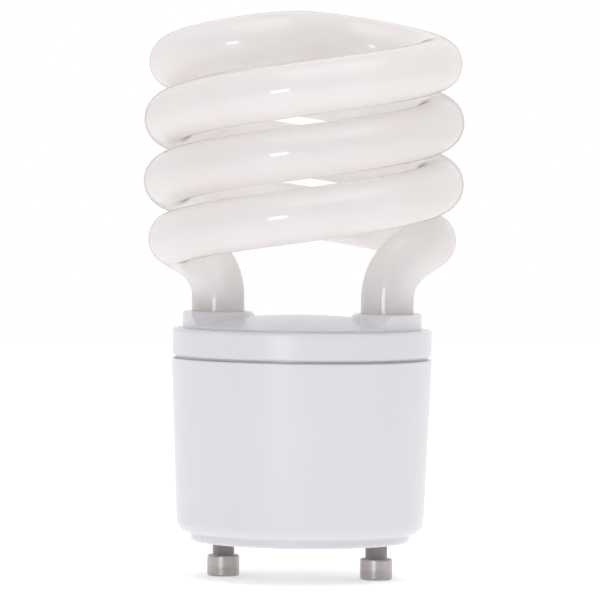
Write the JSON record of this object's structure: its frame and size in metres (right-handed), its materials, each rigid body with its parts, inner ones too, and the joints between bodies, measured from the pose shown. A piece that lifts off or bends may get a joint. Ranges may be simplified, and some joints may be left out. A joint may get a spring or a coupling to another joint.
{
  "type": "compact fluorescent bulb",
  "caption": "Self-ballasted lamp with a white double-spiral tube, an S-shaped bridge on top, a tapered round base and twist-lock contact pins.",
  "frame": {"origin": "centre of the seating face under the base, the face that meets the socket", "axes": "+Z along the lamp axis, out of the glass; +X from the left contact pin to the right one; +Y to the back"},
  "size_m": [0.0492, 0.0492, 0.0874],
  "materials": {
    "coated_glass": "milk-white phosphor coating seen through clear glass",
    "base_plastic": "moulded heat-resistant plastic, fine satin surface",
    "contact_metal": "turned brass, satin nickel plating",
    "board_laminate": "phenolic paper laminate",
    "ferrite": "sintered, matt",
    "copper_wire": "enamelled copper",
    "tinned_wire": "tinned copper",
    "nylon": "moulded bobbin",
    "can_sleeve": "shrunk film over an aluminium can",
    "dipped_epoxy": "dipped coating",
    "black_epoxy": "moulded case",
    "resistor_lacquer": "lacquered ceramic body",
    "diac_glass": "small glass case",
    "wire_insulation": "insulated stranded wire",
    "silicone_cement": "cured cement"
  },
  "bodies": {
    "root": {"glass_spiral": "coated_glass", "base_housing": "base_plastic", "tube_cover": "base_plastic", "tube_cement_left": "silicone_cement", "tube_cement_right": "silicone_cement", "contact_pin_left": "contact_metal", "contact_pin_right": "contact_metal", "circuit_board": "board_laminate", "choke_core_upper": "ferrite", "choke_core_lower": "ferrite", "choke_bobbin": "nylon", "choke_winding": "copper_wire", "choke_terminals": "tinned_wire", "drive_toroid": "ferrite", "drive_windings": "copper_wire", "bulk_capacitor": "can_sleeve", "resonant_capacitor": "dipped_epoxy", "coupling_capacitor": "dipped_epoxy", "starter_capacitor": "dipped_epoxy", "transistor_a": "black_epoxy", "transistor_b": "black_epoxy", "rectifier_diodes": "black_epoxy", "resistors": "resistor_lacquer", "trigger_diac": "diac_glass", "fusible_resistor": "resistor_lacquer", "filter_core": "ferrite", "filter_winding": "copper_wire", "wrap_posts": "tinned_wire", "supply_leads": "wire_insulation", "filament_leads": "tinned_wire"}
  },
  "joints": []
}
